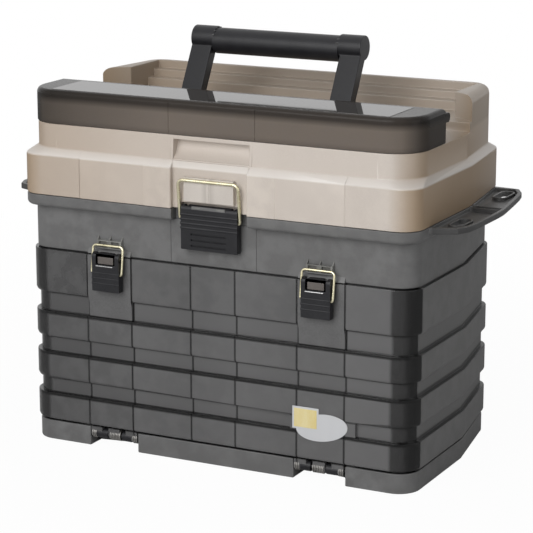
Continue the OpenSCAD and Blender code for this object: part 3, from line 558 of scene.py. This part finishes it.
lidKeeperLook = {"edge": 0.7, "ridge": 1.7, "ridgeAt": (-0.6, -7.1), "ridgeZ": (286.5, 309), "ridgeEdge": 0.5}
lidKeeper = soften(copyNode("lid_keeper", "lidKeeper"), lidKeeperLook["edge"])
ends = [(*lidKeeperLook["ridgeAt"], z) for z in lidKeeperLook["ridgeZ"]]
ridge = rod("ridge", lidKeeperLook["ridge"], *ends, vertices=24)
lidKeeper = join("lidKeeper", lidKeeper, soften(ridge, lidKeeperLook["ridgeEdge"]))
finishPiece(smooth(lidKeeper), "lid", "champagne_plastic", "champagnePale", "lid_keeper")

rimLook = {"out": 210, "front": 5, "rear": 54, "low": 351, "high": 381, "wall": 3, "corner": 32,
           "cornerFrom": 200, "edge": 0.5, "ribs": (-50, 50), "ribHalf": 0.8, "rib": (3.6, 6, 354, 379)}
rimOut, rimIn = rimLook["out"], rimLook["out"] - rimLook["wall"]
rimFront, hollowFront = rimLook["front"], rimLook["front"] + rimLook["wall"]
rim = block("trayRim", -rimOut, rimOut, rimFront, rimLook["rear"], rimLook["low"], rimLook["high"])
bevelEdges(rim, lambda x, y, z: near(y, rimFront) and abs(x) > rimLook["cornerFrom"], rimLook["corner"],
           segments=8)
hollow = block("hollow", -rimIn, rimIn, hollowFront, rimLook["rear"] + 5, rimLook["low"] - 1, rimLook["high"] + 1)
bevelEdges(hollow, lambda x, y, z: near(y, hollowFront) and abs(x) > rimLook["cornerFrom"],
           rimLook["corner"] - rimLook["wall"], segments=8)
cut(rim, hollow)
ribs = [block("rib", x - rimLook["ribHalf"], x + rimLook["ribHalf"], *rimLook["rib"]) for x in rimLook["ribs"]]
rim = soften(join("trayRim", rim, *ribs), rimLook["edge"])
finishPiece(smooth(rim), "lid", "champagne_plastic", "champagne")
print("lid ready")

coverLook = {"top": 388, "round": 7, "edge": 0.8, "grooves": (-50, 50), "groove": (0.5, 0.6, 353, 384)}
cover = copyNode("top_cover", "coverShell")
bevelEdges(cover, lambda x, y, z: near(z, coverLook["top"]), coverLook["round"], segments=5)
soften(cover, coverLook["edge"])
for x in coverLook["grooves"]:
    score(cover, x, *coverLook["groove"])
smooth(cover)
finishPiece(cover, "top_cover", "smoke_cover", "smokeCover", "top_cover")

panelLook = {"box": (-195, 195, 6, 67, 387.7, 388.35), "edge": 0.25}
panel = soften(block("coverPanel", *panelLook["box"]), panelLook["edge"])
finishPiece(smooth(panel), "top_cover", "smoke_cover", "smokeGloss")

tabLook = {"middles": (-61, 61), "half": 6, "box": (2, 3.6, 355.5, 361.5), "edge": 0.4}
tabs = [soften(block("tab", x - tabLook["half"], x + tabLook["half"], *tabLook["box"]), tabLook["edge"])
        for x in tabLook["middles"]]
finishPiece(smooth(join("coverTabs", *tabs)), "top_cover", "smoke_cover", "smokeCover")
print("cover ready")

doorLook = {"chamfer": 3.8, "edge": 0.55, "seams": (-151.5, -97.3, -26, 26, 97.3, 151.5),
            "seam": (0.9, 0.8, 24, 214)}
door = copyNode("door", "doorShell")
bevelEdges(door, bandEdge, doorLook["chamfer"], segments=2)
soften(door, doorLook["edge"])
for x in doorLook["seams"]:
    score(door, x, *doorLook["seam"])
smooth(door)
finishPiece(door, "door", "smoke_door", "smokeDoor", "door")

plateLook = {"edge": 0.25, "outline": ((4.7, 145.8), (2.4, 145.8), (1.9, 162), (-0.3, 169), (-0.3, 214.1),
                                       (0.6, 214.1), (0.6, 166.3), (4.7, 166.3))}
for side, word in sides:
    plate = prism("latchPanel_" + word, plateLook["outline"], *span(side, *panelReach))
    finishPiece(smooth(soften(plate, plateLook["edge"])), "door", "smoke_door", "smokePanel")

hingeLook = {"axis": (6, 15), "sleeve": 5.6, "sleeveEdge": 1, "sleeves": ((107, 6), (137, 7)), "ring": 5.4,
             "wire": 0.75, "pitch": 1.9, "lean": 6, "coils": ((97, 3), (121.3, 7), (147.3, 3))}
for side, word in sides:
    sleeves, coils = [], []
    for middle, half in hingeLook["sleeves"]:
        x = side * middle
        sleeve = rod("sleeve", hingeLook["sleeve"], (x - half, *hingeLook["axis"]), (x + half, *hingeLook["axis"]))
        sleeves.append(soften(sleeve, hingeLook["sleeveEdge"]))
    for middle, turns in hingeLook["coils"]:
        for step in range(turns):
            x = side * middle + (step - (turns - 1) / 2) * hingeLook["pitch"]
            bpy.ops.mesh.primitive_torus_add(location=at(x, *hingeLook["axis"]), major_segments=28,
                                             minor_segments=8, major_radius=hingeLook["ring"] * mm,
                                             minor_radius=hingeLook["wire"] * mm,
                                             rotation=(0, math.radians(90), math.radians(hingeLook["lean"])))
            coils.append(named("coil"))
    finishPiece(smooth(join("doorHinge_" + word, *sleeves)), "door", "black_plastic", "black")
    finishPiece(smooth(join("doorSpring_" + word, *coils)), "door", "steel_pin", "darkSteel")

labelLook = {"centre": (126.5, -0.4, 60), "half": (29.5, 14.5), "thick": 0.8, "tilt": -9, "edge": 0.3}
bpy.ops.mesh.primitive_cylinder_add(vertices=64, radius=1, depth=labelLook["thick"] * mm,
                                    rotation=(math.radians(90), 0, 0))
label = named("labelOval")
label.scale = (labelLook["half"][0] * mm, 1, labelLook["half"][1] * mm)
settle()
label.rotation_euler = (0, math.radians(labelLook["tilt"]), 0)
label.location = at(*labelLook["centre"])
settle()
finishPiece(smooth(soften(label, labelLook["edge"])), "door", "white_label", "label", "door_label")

patchLook = {"centre": (108, 68), "half": (13, 10), "rear": -0.1, "edge": 0.3, "corner": 4, "cornerAngle": 80,
             "layers": (("labelBorder", 2, -0.9, "label"), ("labelPatch", 0, -1.2, "patch"))}
px, pz = patchLook["centre"]
for name, grow, front, finish in patchLook["layers"]:
    halfX, halfZ = (half + grow for half in patchLook["half"])
    patch = block(name, px - halfX, px + halfX, front, patchLook["rear"], pz - halfZ, pz + halfZ)
    bevelEdges(patch, lambda x, y, z: near(y, front), patchLook["edge"], segments=2)
    modify(patch, "BEVEL", width=patchLook["corner"] * mm, segments=5,
           angle_limit=math.radians(patchLook["cornerAngle"]))
    finishPiece(smooth(patch), "door", "white_label", finish)
print("door ready")


def leverRibs(middle, look):
    ribs = []
    for z in look["ribs"]:
        ends = [(middle + side * look["ribHalf"], look["ribY"], z) for side in (-1, 1)]
        ribs.append(soften(rod("rib", look["rib"], *ends, vertices=20), look["ribEdge"]))
    return ribs


leverLook = {"edge": 0.8, "ribs": (271.2, 266.4, 261.7, 257), "rib": 1.5, "ribHalf": 33.5, "ribY": -6.9,
             "ribEdge": 0.5, "grooves": (250.7, 244.5, 238.6), "groove": (-21, 20, -9, -6), "grooveHalf": 0.9,
             "bar": (-20, 19, -7.95, -6, 277, 280.4), "barEdge": 0.5, "clips": (-19, 9), "clipWide": 9,
             "clip": (-8.4, -7.4, 278, 279.6), "clipEdge": 0.3}
lever = soften(copyNode("latch_lever", "centreLever"), leverLook["edge"])
for z in leverLook["grooves"]:
    cut(lever, block("groove", *leverLook["groove"], z - leverLook["grooveHalf"], z + leverLook["grooveHalf"]))
lever = join("centreLever", lever, *leverRibs(0, leverLook))
finishPiece(smooth(lever), "latch_lever", "black_plastic", "black", "latch_lever")
bar = soften(block("leverBar", *leverLook["bar"]), leverLook["barEdge"])
finishPiece(smooth(bar), "latch_lever", "black_plastic", "graphite")
clips = [soften(block("clip", x, x + leverLook["clipWide"], *leverLook["clip"]), leverLook["clipEdge"])
         for x in leverLook["clips"]]
finishPiece(smooth(join("leverClips", *clips)), "latch_lever", "black_plastic", "keeperGrey")

smallLook = {"edge": 0.7, "window": 11.4, "windowY": (-13, -8.3), "windowZ": (207.2, 218.6),
             "ribs": (198, 192.3, 186.6), "rib": 1.2, "ribHalf": 16.9, "ribY": -9.7, "ribEdge": 0.4}
tongueLook = {"half": 9.4, "box": (-9.7, -8.4, 208, 215.6), "edge": 0.4}
stripLook = {"radius": 0.7, "reach": (-11.5, 9), "at": (-10.3, 205.6), "edge": 0.3}
for side, word in sides:
    body, middle = "lever_" + word, side * latchX
    small = copyNode(body, "doorLever_" + word)
    cut(small, block("window", middle - smallLook["window"], middle + smallLook["window"],
                     *smallLook["windowY"], *smallLook["windowZ"]))
    soften(small, smallLook["edge"])
    small = join("doorLever_" + word, small, *leverRibs(middle, smallLook))
    finishPiece(smooth(small), body, "black_plastic", "black", body)
    tongue = block("leverTongue_" + word, middle - tongueLook["half"], middle + tongueLook["half"],
                   *tongueLook["box"])
    finishPiece(smooth(soften(tongue, tongueLook["edge"])), body, "black_plastic", "brownTongue")
    ends = [(middle + dx, *stripLook["at"]) for dx in stripLook["reach"]]
    strip = soften(rod("leverStrip_" + word, stripLook["radius"], *ends, vertices=20), stripLook["edge"])
    finishPiece(smooth(strip), body, "steel_pin", "steel")
print("latches ready")

bailLook = {"sides": 16, "turn": 6, "end": 4.5, "angle": 60}
bails = {  # wire radius, half width, foot (y, z), top (y, z), bend at the foot, bend at the top, middle
    "latch_bail": (1.7, 34.9, (-4.5, 266), (-9.4, 307.4), 2.4, 6, 0),
    "bail_left": (1.4, 18.1, (-7.5, 197), (-3.4, 226.9), 2.2, 4, -latchX),
    "bail_right": (1.4, 18.1, (-7.5, 197), (-3.4, 226.9), 2.2, 4, latchX),
}
for body, (radius, half, foot, top, low, high, middle) in bails.items():
    length, end = math.dist(foot, top), bailLook["end"]
    bpy.ops.mesh.primitive_circle_add(vertices=bailLook["sides"], radius=radius * mm, fill_type="NGON",
                                      rotation=(0, math.radians(90), 0), location=((end - half) * mm, 0, 0))
    wire = named(body + "_wire")
    runs = (((low - end, 0), (low - half, low)), ((0, length - low - high), (high - half, length - high)),
            ((2 * (half - high), 0), (half - high, length - high)), ((0, low + high - length), (half - low, low)))
    edit(wire, "FACE")
    bpy.ops.mesh.select_all(action="SELECT")
    for (across, up), (x, z) in runs:  # a straight run, then a quarter turn round (x, z)
        bpy.ops.mesh.extrude_region_move(TRANSFORM_OT_translate={"value": (across * mm, 0, up * mm)})
        bpy.ops.mesh.spin(steps=bailLook["turn"], angle=math.radians(-90), center=(x * mm, 0, z * mm),
                          axis=(0, 1, 0))
    bpy.ops.mesh.extrude_region_move(TRANSFORM_OT_translate={"value": ((low - end) * mm, 0, 0)})
    bpy.ops.mesh.select_all(action="SELECT")
    bpy.ops.mesh.normals_make_consistent(inside=False)
    done(wire)
    wire.rotation_euler = (-math.atan2(top[0] - foot[0], top[1] - foot[1]), 0, 0)
    wire.location = at(middle, *foot)
    settle()
    finishPiece(smooth(wire, bailLook["angle"]), body, "brass_wire", "brass", body)

handleLook = {"edge": 1.1, "gripEdge": 0.6, "grow": 2.2, "drop": 2.4}
grip = copyNode("handle_grip", "handleGrip")
edit(grip)
bpy.ops.mesh.select_all(action="SELECT")
bpy.ops.transform.shrink_fatten(value=handleLook["grow"] * mm)
bpy.ops.transform.translate(value=(0, 0, -handleLook["drop"] * mm))
done(grip)
finishPiece(smooth(soften(grip, handleLook["gripEdge"])), "handle", "black_plastic", "black", "handle_grip")

dashLook = {"middle": 74, "half": 1.6, "axis": (155.83, 428.95), "reach": 14.4, "start": -150, "turn": 20,
            "count": 7, "radius": 0.45, "rise": 0.6, "edge": 0.15}
dashes = []
for side in (-1, 1):
    middle = side * dashLook["middle"]
    for step in range(dashLook["count"]):  # the raised dashes beside each cap
        angle = math.radians(dashLook["start"] + step * dashLook["turn"])
        y = dashLook["axis"][0] + dashLook["reach"] * math.cos(angle)
        z = dashLook["axis"][1] - dashLook["reach"] * math.sin(angle)
        dash = rod("dash", dashLook["radius"], (middle - dashLook["half"], y, z),
                   (middle + dashLook["half"], y, z + dashLook["rise"]), vertices=10)
        dashes.append(soften(dash, dashLook["edge"]))
finishPiece(smooth(join("gripDashes", *dashes)), "handle", "black_plastic", "graphite")
for side, word in sides:
    arm = soften(copyNode("handle_arm_" + word, "handleArm_" + word), handleLook["edge"])
    finishPiece(smooth(arm), "handle", "black_plastic", "black", "handle_arm_" + word)

drawerLook = {"edge": 0.5}
for number in ("1", "2", "3", "4"):
    drawer = soften(copyNode("drawer_" + number, "drawerShell_" + number), drawerLook["edge"])
    finishPiece(smooth(drawer), "drawer_" + number, "smoke_drawer", "smokeDrawer", "drawer_" + number)
print("drawers and handle ready")

lamps = {
    "keyLamp": {"energy": 45, "size": 2.2, "place": (-0.2, -2.25, 1.4)},
    "fillLamp": {"energy": 5, "size": 1.4, "place": (2.2, -0.3, 0.6)},
    "topLamp": {"energy": 2.5, "size": 1.6, "place": (0, 0.1, 2.0)},
}
lampAim = (0, 0, 0.2)
for name, lamp in lamps.items():
    data = bpy.data.lights.new(name, "AREA")
    data.shape, data.size, data.energy = "DISK", lamp["size"], lamp["energy"]
    light = bpy.data.objects.new(name, data)
    light.location = lamp["place"]
    light.rotation_euler = (Vector(lampAim) - Vector(lamp["place"])).to_track_quat("-Z", "Y").to_euler()
    bpy.context.scene.collection.objects.link(light)


def emptyTree(owner):
    owner.use_nodes = True
    owner.node_tree.nodes.clear()
    return owner.node_tree.nodes, owner.node_tree.links


floorLook = {"radius": 3, "drop": 0.0005, "colour": (0.82, 0.82, 0.82, 1), "fade": (0.35, 1.2), "glow": (0.97, 1)}
bpy.ops.mesh.primitive_circle_add(vertices=96, radius=floorLook["radius"], fill_type="NGON",
                                  location=(0, 0, -floorLook["drop"]))
floor = bpy.context.active_object
floor.name = "floor"
floorSkin = bpy.data.materials.new("floorSkin")
nodes, links = emptyTree(floorSkin)
out = nodes.new("ShaderNodeOutputMaterial")
diffuse = nodes.new("ShaderNodeBsdfDiffuse")
diffuse.inputs["Color"].default_value = floorLook["colour"]
glow = nodes.new("ShaderNodeEmission")
path = nodes.new("ShaderNodeLightPath")
place = nodes.new("ShaderNodeTexCoord")
reach = nodes.new("ShaderNodeVectorMath")
reach.operation = "LENGTH"
fade = nodes.new("ShaderNodeMapRange")
fade.inputs["From Min"].default_value, fade.inputs["From Max"].default_value = floorLook["fade"]
fade.inputs["To Min"].default_value, fade.inputs["To Max"].default_value = floorLook["glow"]
seen = nodes.new("ShaderNodeMath")
seen.operation = "MULTIPLY"
mixer = nodes.new("ShaderNodeMixShader")
links.new(place.outputs["Object"], reach.inputs[0])
links.new(reach.outputs["Value"], fade.inputs["Value"])
links.new(fade.outputs["Result"], seen.inputs[1])
links.new(path.outputs["Is Camera Ray"], seen.inputs[0])
links.new(seen.outputs[0], mixer.inputs[0])
links.new(diffuse.outputs[0], mixer.inputs[1])
links.new(glow.outputs[0], mixer.inputs[2])
links.new(mixer.outputs[0], out.inputs["Surface"])
floor.data.materials.append(floorSkin)

softLight = 0.14  # what the white surroundings add to diffuse light
world = bpy.data.worlds.new("studioWorld")
bpy.context.scene.world = world
nodes, links = emptyTree(world)
out = nodes.new("ShaderNodeOutputWorld")
soft, white = nodes.new("ShaderNodeBackground"), nodes.new("ShaderNodeBackground")
soft.inputs["Color"].default_value = white.inputs["Color"].default_value = (1, 1, 1, 1)
soft.inputs["Strength"].default_value = softLight
path = nodes.new("ShaderNodeLightPath")
either, anyRay = nodes.new("ShaderNodeMath"), nodes.new("ShaderNodeMath")
either.operation = anyRay.operation = "MAXIMUM"
links.new(path.outputs["Is Camera Ray"], either.inputs[0])
links.new(path.outputs["Is Glossy Ray"], either.inputs[1])
links.new(either.outputs[0], anyRay.inputs[0])
links.new(path.outputs["Is Transmission Ray"], anyRay.inputs[1])
mixer = nodes.new("ShaderNodeMixShader")
links.new(anyRay.outputs[0], mixer.inputs[0])
links.new(soft.outputs[0], mixer.inputs[1])
links.new(white.outputs[0], mixer.inputs[2])
links.new(mixer.outputs[0], out.inputs["Surface"])

photoView = {"azimuth": 26.67, "elevation": 13.61, "distance": 2.25, "target": (62.86, 0, 223.9), "lens": 148.59,
             "sensor": 36}
azimuth, elevation = (math.radians(photoView[key]) for key in ("azimuth", "elevation"))
back = Vector((math.sin(azimuth) * math.cos(elevation), -math.cos(azimuth) * math.cos(elevation),
               math.sin(elevation)))
camera = bpy.data.objects.new("camera", bpy.data.cameras.new("camera"))
bpy.context.scene.collection.objects.link(camera)
camera.data.sensor_width = photoView["sensor"]
camera.data.lens = photoView["lens"]
camera.location = Vector(at(*photoView["target"])) + back * photoView["distance"]
camera.rotation_euler = (-back).to_track_quat("-Z", "Y").to_euler()
bpy.context.scene.camera = camera
bpy.context.scene.view_settings.view_transform = "Standard"
print("studio ready")
